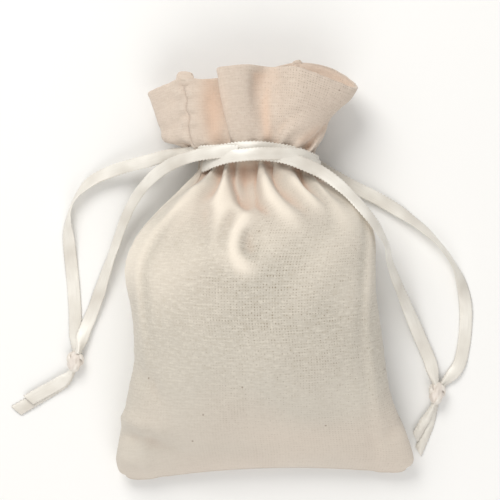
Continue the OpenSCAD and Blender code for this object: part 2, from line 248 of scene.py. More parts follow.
def guide():
    """The body of the sack as rows of cloth up to the neck, and the rim of its mouth."""
    stations = np.linspace(0, NECK_V, 800)
    seam_turn = np.radians(station(stations)[:, 7])
    half_round = np.linspace(0, math.pi, 241)
    share = np.arange(HALF) / HALF
    dense = np.zeros((len(stations), COLS, 3))
    for k, v in enumerate(stations):
        for start, cols in ((-seam_turn[k], slice(0, HALF)), (math.pi - seam_turn[k], slice(HALF, COLS))):
            p = sack_point(np.full(len(half_round), v), start + half_round, -0.3)
            s = lengths_along(p)
            dense[k, cols] = at_lengths(share * s[-1], s, p)
    body = np.zeros((NECK + 1, COLS, 3))
    for c in range(COLS):
        s = lengths_along(dense[:, c])
        body[:, c] = at_lengths(np.linspace(0, s[-1], NECK + 1), s, dense[:, c])
    curve = closed_curve(RIM_FRONT + RIM_BACK)
    left = round(len(RIM_FRONT) * (len(curve) / (len(RIM_FRONT) + len(RIM_BACK))))
    front, back = spread(curve, 0, left, HALF + 1), spread(curve, left, len(curve), HALF + 1)
    return body, np.concatenate([front[:-1], back[:-1]])


def normals(p):
    """Directions out of the cloth, as long as the cells there are large."""
    du = np.roll(p, -1, 1) - np.roll(p, 1, 1)
    dv = np.empty_like(p)
    dv[1:-1] = p[2:] - p[:-2]
    dv[0], dv[-1] = p[1] - p[0], p[-1] - p[-2]
    return np.cross(dv, du)


def wobble(x, seed, waves):
    """A few waves of random height and phase, over x from 0 to 1."""
    rng = np.random.default_rng(seed)
    out = np.zeros_like(x)
    for k in waves:
        out += rng.uniform(0.4, 1.0) / k ** 0.5 * np.cos(2 * math.pi * (k * x + rng.random()))
    return out


# where the front of the neck is drawn in, from right to left
NECK_VALLEYS = (11.9, 8.2, 4.4, 0.5, -2.6, -7.7, -10.4, -13.3, -15.9)


def neck_gathers(s):
    """Depth, 0 to 1, of the gathers round the neck: at the drawn folds in front, even behind."""
    front = neck_angle(np.array(NECK_VALLEYS))
    back = 180 + (np.arange(11) + 0.6) * 180 / 11.4
    marks = np.r_[front, back]
    phase = np.interp(s, np.r_[marks[-1] - 360, marks, marks[0] + 360], np.arange(-1, len(marks) + 1))
    # a flat pleat lies between two of them
    pleat = np.where(s < 180, 0.75 * np.exp(-((neck_x(np.radians(s)) + 5.1) / 2.3) ** 4), 0)
    return np.maximum(np.abs(np.cos(math.pi * phase)) ** 1.3, pleat)


def start_shape():
    """The whole cloth before it is relaxed: the guide's body, gathered at the neck, and the open frill."""
    body, rim = guide()
    n = unit(normals(body))
    # the bottom corners are a little rounded
    for col in (0, HALF):
        corner = body[0, col]
        d = np.linalg.norm(body[:, :, :2] - corner[:2], axis=2)
        to = np.array([-np.sign(corner[0]) * 0.9, 0.8, 0.0])
        body = body + to * np.exp(-(d / 2.0) ** 2)[..., None]
    ring = body[NECK]
    angle = neck_angle(ring[:, 0])
    angle = np.where(ring[:, 2] < NECK_SIDE_Z, 360 - angle, angle)
    # deep gathers close to the neck, and wider waves below it behind
    s = np.arange(COLS) / COLS
    tall = 1 + 0.15 * wobble(s, 12, (4, 7, 11))
    q = (NECK - np.arange(NECK + 1))[:, None] * ROW_MM
    front = smooth((n[..., 2] + 0.15) / 0.3)
    close = 1.9 * np.exp(-(q / np.where(front > 0.5, 3.2, 6.0)) ** 1.4)
    waves = 10 * s + 0.25 * wobble(s, 9, (2, 3, 5)) + 0.35
    low = 1.4 * (1 - np.exp(-q / 5)) * np.exp(-(q / 13) ** 2) * (1 - front)
    depth = close * neck_gathers(angle)[None] * tall + low * (0.5 - 0.5 * np.cos(2 * math.pi * waves))
    start = body - n * depth[..., None]
    start[..., 0] -= neck_shift(start[..., 0]) * np.exp(-(q / 4.5) ** 2)
    start[:, :, 2] = np.maximum(start[:, :, 2], FLOOR_Z)
    # the frill opens out evenly at the front and back, at once on the left and late on the right
    m = ROWS - 1 - NECK
    u = (np.arange(1, m + 1) / m)[:, None]
    ring, top = start[NECK], body[NECK] - n[NECK] * 0.5
    c = np.cos(np.radians(angle))
    left, right = smooth((-c - 0.35) / 0.5)[None], smooth((c - 0.35) / 0.5)[None]
    w_mid = 1 - (1 - u) ** 1.6
    w_left = np.interp(u, (0, 0.05, 0.08, 0.12, 0.18, 0.3, 1), (0, 0.08, 0.30, 0.58, 0.67, 0.74, 1))
    w_right = np.interp(u, (0, 0.06, 0.25, 0.52, 0.7, 0.85, 1), (0, 0.10, 0.27, 0.38, 0.6, 0.9, 1))
    w = (w_mid * (1 - left - right) + w_left * left + w_right * right)[..., None]
    frill = top[None] * (1 - w) + rim[None] * w
    frill[..., 1] = top[None, :, 1] * (1 - u) + rim[None, :, 1] * u
    frill += (ring - top)[None] * (np.exp(-(u * m * ROW_MM / 3.6) ** 1.5))[..., None]
    whole = np.concatenate([start, frill])
    whole[..., 2] = np.maximum(whole[..., 2], FLOOR_Z)
    return whole


def press_folds(p, hold):
    """Irons out the smallest ripples of the relaxed cloth and presses the drawn folds into it."""
    r = np.arange(ROWS)[:, None, None] * ROW_MM
    free = smooth((r - 0.8) / 2.0) * smooth((ROWS - 1) * ROW_MM - r - 0.2)
    free = free * smooth((np.abs(r - BODY) - 2.2) / 2.5)
    p = p + (soften(p, 0.9, 0.8) - p) * free
    rows, cols = blur_matrix(NECK, 3.4 / ROW_MM, False), blur_matrix(COLS, 3.4 / COL_MM, True)
    even = hold[:NECK] + blurred(p[:NECK] - hold[:NECK], rows, cols)
    p[:NECK] += (even - p[:NECK]) * smooth((BODY - r[:NECK] - 1.0) / 3.0)
    n = unit(soften(normals(p), 1.2, 1.2))
    q = (NECK - np.arange(ROWS))[:, None] * ROW_MM
    below = np.where(q > 0, smooth((q - 0.6) / 2.0), 0)
    above = np.where(q < 0, smooth((-q - 0.6) / 2.0) * (1 - smooth((-q - 18.5) / 2.0)), 0)
    deep = fold_depth(p, n, FOLDS) * below + fold_depth(p, n, FRILL_FOLDS) * above
    # long faint waves over the belly
    u = np.arange(COLS)[None] / COLS
    w = np.arange(ROWS)[:, None] / ROWS
    ease = smooth(q / 20) * smooth((BODY - q) / 12)
    waves = (np.sin(2 * math.pi * (5 * u + 2.3 * w)) + np.sin(2 * math.pi * (3 * u - 3.7 * w) + 1.1)
             + 0.7 * np.sin(2 * math.pi * (9 * u + 4.1 * w) + 2.0))
    deep = deep + 0.16 * ease * waves
    p = p - n * deep[..., None]
    # the bottom corners are turned out round, not to a point
    for col, near in ((0, 2.2), (HALF, 3.0)):
        corner = p[0, col].copy()
        d = np.linalg.norm(p - corner, axis=2)
        middle = p[d < 1.5 * near].mean(0)
        p = p + (middle - p) * (0.75 * np.exp(-(d / near) ** 2))[..., None]
    return p


def sew_bottom(p):
    """Brings front and back together along the bottom seam."""
    shift = 0.5 * (p[0][(-np.arange(COLS)) % COLS] - p[0])
    ease = np.exp(-(np.arange(ROWS) * ROW_MM / 2.2) ** 2)
    return p + shift[None] * ease[:, None, None]


def blur_matrix(n, sigma, wrap):
    """Weights that soften n values over sigma of them. wrap joins the last to the first."""
    i = np.arange(n)
    d = np.abs(i[:, None] - i[None])
    if wrap:
        d = np.minimum(d, n - d)
    a = np.exp(-0.5 * (d / sigma) ** 2)
    return a / a.sum(1, keepdims=True)


def blurred(d, rows, cols):
    x = (rows @ d.reshape(len(d), -1)).reshape(d.shape)
    x = np.ascontiguousarray(x.transpose(1, 0, 2))
    return (cols @ x.reshape(len(x), -1)).reshape(x.shape).transpose(1, 0, 2)


def soften(field, along, across):
    """A field over the whole cloth, softened by so many mm along it and across it."""
    return blurred(field, blur_matrix(ROWS, along / ROW_MM, False), blur_matrix(COLS, across / COL_MM, True))


def pull(a, b, rest, stretch, squash):
    """How far each point of a moves towards its partner in b to bring the pair to its rest distance."""
    d = b - a
    x, y, z = d[..., 0], d[..., 1], d[..., 2]
    length = np.sqrt(x * x + y * y + z * z) + np.float32(1e-6)
    over = length - rest
    k = np.where(over > 0, stretch, squash) * over / length * 0.5
    return d * k[..., None]


def pull_rows(p, rest, span, stretch, squash, share):
    """Pulls together points that lie span rows apart."""
    for g in range(2 * span):
        at = slice(g, ROWS - span, 2 * span)
        a, b = p[at], p[g + span::2 * span]
        c = pull(a, b, rest[at], stretch, squash) * share[at][..., None]
        a += c
        b -= c


def pull_columns(p, rest, span, stretch, squash, share):
    """Pulls together points that lie span columns apart, right round the sack."""
    for g in range(span):
        for shift in (0, span):
            i = (np.arange(g, COLS, 2 * span) + shift) % COLS
            j = (i + span) % COLS
            c = pull(p[:, i], p[:, j], rest[:, i], stretch, squash) * share[..., None]
            p[:, i] += c
            p[:, j] -= c


# the share of a stretch or a squash that the cloth takes up each step, straight and on the slant
STRETCH, SQUASH = 1.0, 0.7
SLANT_STRETCH, SLANT_SQUASH = 0.25, 0.15
FRILL_STIFF, BODY_STIFF = 0.5, 0.16
UNBENT = 0.985              # bends open until their ends are this share of their flat length apart
EASE, SEAM_DRAW = 1.004, 0.985
KEEP_SPEED, FRICTION = 0.93, 0.6
PRESSURE, WEIGHT = 0.012, 0.0008
HOLD_BODY, HOLD_NECK = 0.15, 0.5        # how strongly the start shape holds the cloth


def relax(hold, steps):
    """Lets the cloth find its own small creases, held near the shape that it starts from."""
    f32 = np.float32
    hold = hold.astype(f32)
    p = hold.copy()
    old = p.copy()
    # how wide and how long each cell of the cloth is when it is at ease
    across = np.linalg.norm(np.roll(hold, -1, 1) - hold, axis=2)
    perim = across.sum(1)
    belly = int(np.argmax(perim[:NECK]))
    widest = perim[:belly + 1].max() / COLS
    even = np.clip(perim / COLS * EASE, widest * 0.3, widest * 1.05)[:, None]
    soft_cols = blur_matrix(COLS, 3.0, True)
    local = across @ soft_cols * EASE
    mix = smooth((np.arange(ROWS) - NECK + 14) / 10.0)[:, None]
    weft = (even * (1 - mix) + local * mix).astype(f32)
    up = np.linalg.norm(np.diff(hold, axis=0), axis=2)
    warp = np.empty((ROWS - 1, COLS))
    body_up = blur_matrix(NECK, 6.0, False) @ up[:NECK] @ blur_matrix(COLS, 8.0, True)
    warp[:NECK] = np.clip(body_up, 0.8 * ROW_MM, 1.3 * ROW_MM)
    warp[NECK:] = blur_matrix(ROWS - 1 - NECK, 2.0, False) @ (up[NECK:] @ soft_cols)
    warp = warp.astype(f32)
    for seam in (0, HALF):
        warp[:NECK, seam] *= SEAM_DRAW
    diag = np.sqrt(((weft[:-1] + weft[1:]) / 2) ** 2 + warp ** 2).astype(f32)
    pin = np.zeros(ROWS, bool)
    pin[NECK - 1:NECK + 2] = True
    pin_at = p[pin].copy()
    wide_rows = blur_matrix(ROWS, 5.0 / ROW_MM, False).astype(f32)
    wide_cols = blur_matrix(COLS, 5.0 / COL_MM, True).astype(f32)
    fine_rows = blur_matrix(ROWS, 1.3 / ROW_MM, False).astype(f32)
    fine_cols = blur_matrix(COLS, 1.0 / COL_MM, True).astype(f32)
    near = smooth((np.arange(ROWS) - NECK + 26.0 / ROW_MM) / (9.0 / ROW_MM))[:, None, None].astype(f32)
    stiff = np.where(np.arange(ROWS) > NECK, FRILL_STIFF, BODY_STIFF).astype(f32)[:, None]
    whole = np.ones((ROWS, 1), f32)
    pressure = np.full((ROWS, 1), PRESSURE, f32)
    pressure[NECK:] = 0
    for step in range(steps):
        v = (p - old) * f32(KEEP_SPEED)
        old = p.copy()
        p = p + v + normals(p) * pressure[..., None]
        p[..., 2] -= f32(WEIGHT)
        # along the cloth, across it, and both diagonals
        pull_rows(p, warp, 1, STRETCH, SQUASH, whole)
        pull_columns(p, weft, 1, STRETCH, SQUASH, whole)
        for g in (0, 1):
            for s in (1, -1):
                at = slice(g, ROWS - 1, 2)
                a, b = p[at], p[g + 1::2]
                c = pull(a, np.roll(b, -s, 1), diag[at], SLANT_STRETCH, SLANT_SQUASH)
                a += c
                b -= np.roll(c, s, 1)
        # bending, one and two cells either side
        for span, share in ((2, stiff), (4, stiff * 0.6)):
            reach = f32(span * UNBENT)
            pull_rows(p, warp * reach, span, 0.0, 1.0, share)
            pull_columns(p, weft * reach, span, 0.0, 1.0, share)
        # front and back are sewn together along the bottom
        p[0] = 0.5 * (p[0] + p[0][(-np.arange(COLS)) % COLS])
        if step % 3 == 0:
            d = p - hold
            low, middle = blurred(d, wide_rows, wide_cols), blurred(d, fine_rows, fine_cols)
            p -= f32(HOLD_BODY) * low * (1 - near) + f32(HOLD_NECK) * middle * near
        p[pin] = pin_at
        under = p[..., 2] < FLOOR_Z
        p[..., 2] = np.maximum(p[..., 2], f32(FLOOR_Z))
        old[under] += (p[under] - old[under]) * f32(FRICTION)
        old[pin] = pin_at
    return p.astype(float)


# ------------------------------------------------------------------ camera, light and floor
VIEW_X, VIEW_Y, VIEW_W = -3.7, 6.3, 118.2       # what the camera sees at the sack's middle height
CAMERA_UP, MIDDLE_Z = 600.0, 11.0
FLOOR_HALF, LIGHTS_AIM = 3.0, (0, 0, 0.01)      # in m
WEFT_MM, WARP_MM, RIB_MM = 0.62, 0.68, 0.28     # from thread to thread, and from rib to rib of the ribbon


def make_camera():
    cam = bpy.data.cameras.new("camera")
    cam.sensor_width = 36.0
    cam.lens = cam.sensor_width * CAMERA_UP / VIEW_W
    cam.clip_start, cam.clip_end = 0.01, 10.0
    ob = bpy.data.objects.new("camera", cam)
    ob.location = (VIEW_X * MM, VIEW_Y * MM, (CAMERA_UP + MIDDLE_Z) * MM)
    bpy.context.collection.objects.link(ob)
    bpy.context.scene.camera = ob


def area_light(name, place, size, watts, colour):
    lamp = bpy.data.lights.new(name, "AREA")
    lamp.shape, lamp.size, lamp.energy, lamp.color = "DISK", size, watts, colour
    ob = bpy.data.objects.new(name, lamp)
    ob.location = place
    ob.rotation_mode = "QUATERNION"
    ob.rotation_quaternion = (Vector(LIGHTS_AIM) - Vector(place)).to_track_quat("-Z", "Y")
    bpy.context.collection.objects.link(ob)


def srgb(r, g, b):
    return tuple(((c / 255 + 0.055) / 1.055) ** 2.4 if c > 10 else c / 3294.6 for c in (r, g, b))


class Looks:
    """One material: its shader, and short calls for the nodes that its colour and bumps are built from."""

    def __init__(self, name, **shader):
        self.material = bpy.data.materials.new(name)
        self.material.use_nodes = True
        self.tree = self.material.node_tree
        self.tree.nodes.clear()
        out = self.node("ShaderNodeOutputMaterial")
        self.shader = self.node("ShaderNodeBsdfPrincipled")
        for setting, value in shader.items():
            self.shader.inputs[setting.replace("_", " ")].default_value = value
        self.link(self.shader.outputs[0], out.inputs["Surface"])

    def link(self, source, socket):
        self.tree.links.new(source, socket)

    def node(self, kind, **values):
        n = self.tree.nodes.new(kind)
        for key, value in values.items():
            if hasattr(n, key):
                setattr(n, key, value)
            else:
                n.inputs[key].default_value = value
        return n

    def feed(self, socket, value):
        """Sets a socket to a number or a colour, or links it to another node's output."""
        if isinstance(value, (int, float)):
            socket.default_value = value
        elif isinstance(value, tuple):
            socket.default_value = value + (1.0,)
        else:
            self.link(value, socket)

    def calculate(self, operation, *values):
        n = self.node("ShaderNodeMath", operation=operation)
        for socket, value in zip(n.inputs, values):
            self.feed(socket, value)
        return n.outputs[0]

    def times(self, a, b):
        return self.calculate("MULTIPLY", a, b)

    def plus(self, a, b):
        return self.calculate("ADD", a, b)

    def sine(self, a):
        return self.calculate("SINE", a)

    def ramp(self, value, low, high):
        """0 at low, 1 at high, and straight between them."""
        n = self.node("ShaderNodeMapRange")
        n.inputs["From Min"].default_value, n.inputs["From Max"].default_value = low, high
        self.link(value, n.inputs["Value"])
        return n.outputs[0]

    def mix(self, share, a, b):
        n = self.node("ShaderNodeMix", data_type="RGBA", blend_type="MIX")
        first, second = [socket for socket in n.inputs if socket.type == "RGBA"]
        for socket, value in ((n.inputs[0], share), (first, a), (second, b)):
            self.feed(socket, value)
        return next(socket for socket in n.outputs if socket.type == "RGBA")

    def tint(self, base, share, amount, colour):
        return self.mix(self.times(share, amount), base, colour)

    def on_cloth(self):
        """Each point's place on the flat cloth in mm, whole and as u, v and its share of painted shade, with
        painted highlight below 0.
        """
        at = self.node("ShaderNodeAttribute", attribute_name="cloth").outputs["Vector"]
        parts = self.node("ShaderNodeSeparateXYZ")
        self.link(at, parts.inputs[0])
        return at, *parts.outputs

    def noise(self, x, y, scale_x, scale_y, detail=2.0, rough=0.5, seed=0.0):
        """Noise over the flat cloth, finer or longer by its two scales."""
        place = self.node("ShaderNodeCombineXYZ")
        self.link(self.times(x, scale_x), place.inputs[0])
        self.link(self.times(y, scale_y), place.inputs[1])
        place.inputs[2].default_value = seed
        n = self.node("ShaderNodeTexNoise", Scale=1.0, Detail=detail, Roughness=rough)
        self.link(place.outputs[0], n.inputs["Vector"])
        return n.outputs[0]

    def finish(self, colour, height, strength, distance):
        self.link(colour, self.shader.inputs["Base Color"])
        bump = self.node("ShaderNodeBump", Strength=strength, Distance=distance)
        self.link(height, bump.inputs["Height"])
        self.link(bump.outputs[0], self.shader.inputs["Normal"])
        return self.material


def muslin_material():
    """Plain-woven cotton, with its weft along u, its warp along v, and its painted fold light from -1,
    painted highlight on ridges, to 1, painted shade in valleys.
    """
    t = Looks("muslin", Roughness=0.92, Sheen_Weight=0.25, Sheen_Roughness=0.6, Specular_IOR_Level=0.2)
    at, u, v, fold = t.on_cloth()
    slub = t.noise(u, v, 0.12, 2.1, 3.0, 0.6, 3.0)      # thick and thin weft threads
    slub_warp = t.noise(u, v, 1.9, 0.10, 3.0, 0.6, 7.0)
    cloudy = t.noise(u, v, 0.05, 0.05, 3.0, 0.5, 11.0)
    fine = t.noise(u, v, 3.1, 3.1, 2.0, 0.7, 17.0)
    # weave: weft threads run across the cloth and show more than the warp
    wander = t.times(slub, 6.0)
    weft = t.sine(t.plus(t.times(v, 2 * math.pi / WEFT_MM), wander))
    warp = t.sine(t.plus(t.times(u, 2 * math.pi / WARP_MM), t.times(slub_warp, 3.0)))
    grid = t.plus(t.times(weft, 0.26), t.times(warp, 0.20))
    height = t.plus(t.times(grid, 0.5), t.plus(t.times(slub, 1.1), t.times(fine, 0.7)))
    # colour, in clouds of two creams and a pinker one
    base = t.mix(t.ramp(cloudy, 0.35, 0.65), srgb(211, 204, 192), srgb(204, 196, 184))
    pinker = t.ramp(t.noise(u, v, 0.022, 0.022, 1.0, 0.5, 23.0), 0.45, 0.62)
    base = t.tint(base, pinker, 0.8, srgb(219, 205, 191))
    # threads show most in the middle, where the cloth is stretched over what fills it; the same middle takes
    # painted shade below
    here = t.times(t.ramp(v, 12.0, 42.0), t.ramp(v, 78.0, 58.0))
    shown = t.plus(t.times(here, 0.75), t.plus(t.times(t.ramp(v, 84.0, 90.0), 0.3), 0.25))
    threads = t.plus(t.times(t.noise(u, v, 0.48, 2.1, 3.0, 0.7, 31.0), 0.65),
                     t.times(t.noise(u, v, 1.7, 0.9, 3.0, 0.7, 37.0), 0.35))
    # painted shade: the middle of the belly is painted darker than the shoulders, which face the light
    base = t.tint(base, here, 0.75, srgb(193, 187, 175))
    # painted light: the bottom edge, which turns up toward the light, is painted paler and pinker
    base = t.tint(base, t.ramp(v, 9.0, 0.0), 0.3, srgb(228, 209, 195))
    # painted shade: the frill, which faces away from the key light and is lit through its single layer, is
    # painted darker and pinker
    base = t.tint(base, t.ramp(v, 80.0, 90.0), 0.75, srgb(212, 194, 179))
    base = t.tint(base, t.ramp(threads, 0.50, 0.60), t.times(shown, 0.42), srgb(229, 222, 207))
    base = t.tint(base, t.ramp(threads, 0.50, 0.40), t.times(shown, 0.42), srgb(187, 177, 158))
    # pinholes between the threads, most of them right of the middle
    both = t.times(t.ramp(weft, 0.1, -0.8), t.ramp(warp, 0.1, -0.8))
    open_here = t.plus(t.noise(u, v, 0.95, 1.5, 2.0, 0.7, 41.0), t.times(cloudy, 0.5))
    side = t.plus(t.times(t.ramp(u, 52.0, 36.0), 0.65), 0.35)
    gap = t.times(t.times(both, side), t.ramp(open_here, 0.70, 0.86))
    base = t.tint(base, t.times(gap, shown), 0.85, srgb(132, 117, 95))
    # a few dark specks of seed
    speck = t.node("ShaderNodeTexVoronoi", voronoi_dimensions="2D", Scale=0.04)
    t.link(at, speck.inputs["Vector"])
    base = t.tint(base, t.ramp(speck.outputs["Distance"], 0.012, 0.007), 0.55, srgb(120, 96, 72))
    # painted highlight makes the ridges paler, and painted shade darkens and warms the folds, like light that
    # has passed through cloth; in the frill it is paler, a painted warm glow
    base = t.tint(base, t.ramp(fold, 0.0, -1.0), 0.8, srgb(246, 236, 221))
    base = t.tint(base, t.ramp(fold, 0.0, 1.0), 0.62,
                  t.mix(t.ramp(v, 86.0, 88.0), srgb(203, 164, 139), srgb(226, 188, 160)))
    return t.finish(base, height, 0.42, 0.00015)


def satin_material():
    """Satin ribbon: fine lines along it, faint ribs across it, painted sheen in patches, and painted warm
    shade over the knots.
    """
    t = Looks("satin", Roughness=0.34, Specular_IOR_Level=0.9, Sheen_Weight=0.2, Sheen_Roughness=0.35)
    _, u, v, painted_knot_shade = t.on_cloth()
    lines = t.noise(u, v, 9.0, 0.22, 3.0, 0.6)
    ribs = t.sine(t.times(v, 2 * math.pi / RIB_MM))
    height = t.plus(lines, t.times(ribs, 0.10))
    base = t.mix(t.ramp(lines, 0.3, 0.7), srgb(244, 241, 233), srgb(228, 224, 215))
    # painted shade and sheen: slow patches along the ribbon are painted greyer, as satin's shine changes with
    # its turn to the light
    painted_sheen_patches = t.noise(v, u, 0.10, 0.10)
    base = t.tint(base, t.ramp(painted_sheen_patches, 0.38, 0.68), 0.75, srgb(204, 197, 186))
    # painted shade: the knots are painted warmer and darker
    base = t.tint(base, painted_knot_shade, 0.45, srgb(218, 199, 188))
    return t.finish(base, height, 0.35, 0.00008)


def thread_material():
    t = Looks("thread", Roughness=0.8)
    fibres = t.node("ShaderNodeTexNoise", Scale=2500.0, Detail=3.0).outputs[0]
    return t.finish(t.mix(fibres, srgb(232, 225, 212), srgb(208, 196, 178)), fibres, 0.4, 0.0001)


def floor_and_light():
    mesh = bpy.data.meshes.new("floor")
    s = FLOOR_HALF
    mesh.from_pydata([(-s, -s, 0), (s, -s, 0), (s, s, 0), (-s, s, 0)], [], [(0, 1, 2, 3)])
    ob = bpy.data.objects.new("floor", mesh)
    bpy.context.collection.objects.link(ob)
    mesh.materials.append(Looks("paper", Roughness=0.9, Base_Color=(0.90, 0.90, 0.89, 1)).material)
    world = bpy.data.worlds.new("world")
    world.use_nodes = True
    sky = world.node_tree.nodes["Background"]
    sky.inputs["Color"].default_value, sky.inputs["Strength"].default_value = (1.0, 0.99, 0.975, 1), 0.50
    bpy.context.scene.world = world
    area_light("key", (-0.19, 0.38, 0.42), 0.36, 2.05, (1.0, 0.98, 0.95))
    area_light("fill", (0.04, -0.42, 0.42), 0.60, 1.5, (1.0, 0.98, 0.96))


# ------------------------------------------------------------------ meshes
def new_object(name, points, faces, cloth, material):
    mesh = bpy.data.meshes.new(name)
    points = np.asarray(points, float).reshape(-1, 3)
    faces = np.asarray(faces, int).reshape(-1, 4)
    mesh.vertices.add(len(points))
    mesh.vertices.foreach_set("co", (points * MM).astype(np.float32).ravel())
    mesh.loops.add(faces.size)
    mesh.loops.foreach_set("vertex_index", faces.ravel().astype(np.int32))
    mesh.polygons.add(len(faces))
    mesh.polygons.foreach_set("loop_start", np.arange(0, faces.size, 4, dtype=np.int32))
    mesh.update(calc_edges=True)
    mesh.polygons.foreach_set("use_smooth", np.full(len(faces), True))
    place = mesh.attributes.new("cloth", "FLOAT_VECTOR", "POINT")
    place.data.foreach_set("vector", np.asarray(cloth, np.float32).ravel())
    mesh.validate()
    ob = bpy.data.objects.new(name, mesh)
    bpy.context.collection.objects.link(ob)
    mesh.materials.append(material)
    return ob


def faced_out(points, faces):
    """Turns the faces of a closed skin round if they look inwards."""
    a, b, c, d = np.moveaxis((points - points.mean(0))[faces], 1, 0)
    volume = (a * (np.cross(b, c) + np.cross(c, d))).sum()
    return faces if volume > 0 else faces[:, ::-1]


def skin(outer, inner, cloth, closed=False):
    """A closed skin between two grids of points, rows by columns. closed joins the columns round."""
    rows, cols = outer.shape[:2]
    n = rows * cols
    idx = np.arange(n).reshape(rows, cols)
    nxt = np.roll(idx, -1, 1) if closed else idx[:, 1:]
    cur = idx if closed else idx[:, :-1]
    quads = np.stack([cur[:-1], nxt[:-1], nxt[1:], cur[1:]], -1).reshape(-1, 4)
    faces = [quads, quads[:, ::-1] + n]
    edges = [(cur[0], nxt[0], True), (cur[-1], nxt[-1], False)]
    if not closed:
        edges += [(idx[:-1, 0], idx[1:, 0], False), (idx[:-1, -1], idx[1:, -1], True)]
    for a, b, flip in edges:
        q = np.stack([a, b, b + n, a + n], -1)
        faces.append(q[:, ::-1] if flip else q)
    points = np.concatenate([outer.reshape(-1, 3), inner.reshape(-1, 3)])
    return points, faced_out(points, np.concatenate(faces)), np.concatenate([cloth.reshape(-1, 3)] * 2)


def shell(name, outer, inner, cloth, material, closed=False):
    return new_object(name, *skin(outer, inner, cloth, closed), material)


# ------------------------------------------------------------------ ribbons
RIBBON_W, RIBBON_T = 3.3, 0.16
# each ribbon's middle line in mm, and how far the ribbon is turned on edge there in degrees
ROUTES = {
    "left_ribbon_front_strand": [
        (-6.5, 29.4, 16.9, 0), (-9, 29.4, 16.6, 0), (-13, 29.1, 15.4, -8), (-17.6, 28.3, 13.1, -16),
        (-23, 26.3, 10.2, -22), (-27.5, 23, 7.6, -25), (-31, 18.8, 5.4, -35), (-33.8, 13.4, 3.6, -45),
        (-36, 7.4, 2.4, -45), (-38.2, 1.2, 1.7, -40), (-40.2, -4.8, 1.1, -25), (-42, -9.6, 0.75, -12),
        (-43.4, -13, 0.95, -4), (-44.3, -15.9, 1.6, 0), (-45, -18.8, 2.7, 0)],
    "left_ribbon_back_strand": [
        (-9, 29.5, 16.2, 0), (-12, 29.4, 15.3, 0), (-15, 29.4, 13.8, -5), (-19, 29.3, 10.9, -20),
        (-23.5, 28.7, 8.2, -20), (-28.5, 27.4, 6, -12), (-33.5, 26.2, 4.2, -10), (-38, 24.7, 2.9, -20),
        (-41.8, 22.8, 2.2, -40), (-44.8, 20, 2, -62), (-46.7, 16.6, 1.9, -75), (-47.4, 12.4, 1.6, -50),
        (-47.2, 8, 0.9, -20), (-46.7, 3, 0.4, 0), (-46.2, -2.5, 0.35, 0), (-45.8, -8, 0.35, 0),
        (-45.7, -13, 0.4, 0), (-45.6, -18.8, 1, 0)],
    "right_ribbon_front_strand": [
        (-4.5, 28.8, 16.6, 0), (0, 28.7, 16.7, 0), (4.5, 28, 16.6, 4), (9, 26.4, 16.2, 10),
        (12.9, 24.6, 16, 16), (16.4, 22.2, 16.7, 24), (19.9, 19, 17.9, 34), (23.1, 15.4, 18.9, 42),
        (25.9, 11.8, 18.1, 50), (28.2, 8, 15.2, 60), (29.6, 2.6, 10.6, 55), (32.6, -4.4, 6, 35),
        (35.5, -11, 2.8, 18), (37.8, -16.2, 1.2, 8), (39.6, -20.6, 1.2, 0), (41, -26.5, 2.7, 0)],
    "right_ribbon_back_strand": [
        (3, 27.6, 1.6, 0), (8, 27.6, 1.6, 0), (12.5, 26.4, 1.6, 0), (16.5, 24, 1.6, 0),
        (21.5, 21.3, 1.7, 0), (27.5, 18.3, 1.5, 10), (33, 15, 1.4, 25), (38, 11.3, 1.7, 50),
        (42, 7.4, 2, 72), (45, 3.2, 1.8, 60), (47, -1.4, 1.2, 35), (48.1, -6.6, 0.6, 10),
        (48.2, -12, 0.35, 0), (47.6, -17.4, 0.35, 0), (46.2, -22, 0.5, 0), (42, -26.6, 1, 0)],
    "left_front_tail": [
        (-45.8, -22.2, 1.8, 0), (-47.8, -24.4, 1.4, 0), (-50.6, -26.3, 1, 0), (-53.6, -27.9, 0.95, 0),
        (-57, -29.8, 0.95, 0)],
    "left_back_tail": [
        (-45.9, -22.4, 1, 0), (-48, -25, 0.4, 0), (-51.2, -27.2, 0.3, 0), (-55.6, -29.8, 0.3, 0),
        (-60, -32.4, 0.3, 0)],
    "right_front_tail": [
        (40.8, -30.2, 1.8, 0), (39.4, -33, 1.3, 0), (37.8, -35.6, 1, 0), (36, -38.8, 0.95, 0)],
    "right_back_tail": [
        (41.1, -30.4, 1, 0), (40.2, -33.4, 0.4, 0), (39, -37, 0.3, 0), (36.8, -42.2, 0.3, 0)],
}


def ribbon_frame(q):
    """The ribbon's sideways and outward directions at each place of its route."""
    t = unit(np.gradient(q[:, :3], axis=0))
    flat = unit(np.cross(t, [0, 0, 1.0]))
    up = np.cross(flat, t)
    turn = np.radians(q[:, 3])[:, None]
    side = flat * np.cos(turn) + up * np.sin(turn)
    return side, np.cross(side, t)


# small loops along a ribbon's edges: from one to the next, and how far they stand out
PICOT_MM, PICOT_OUT = 0.85, 0.28
ACROSS = np.array([-1.0, -0.93, -0.75, -0.4, 0.0, 0.4, 0.75, 0.93, 1.0])


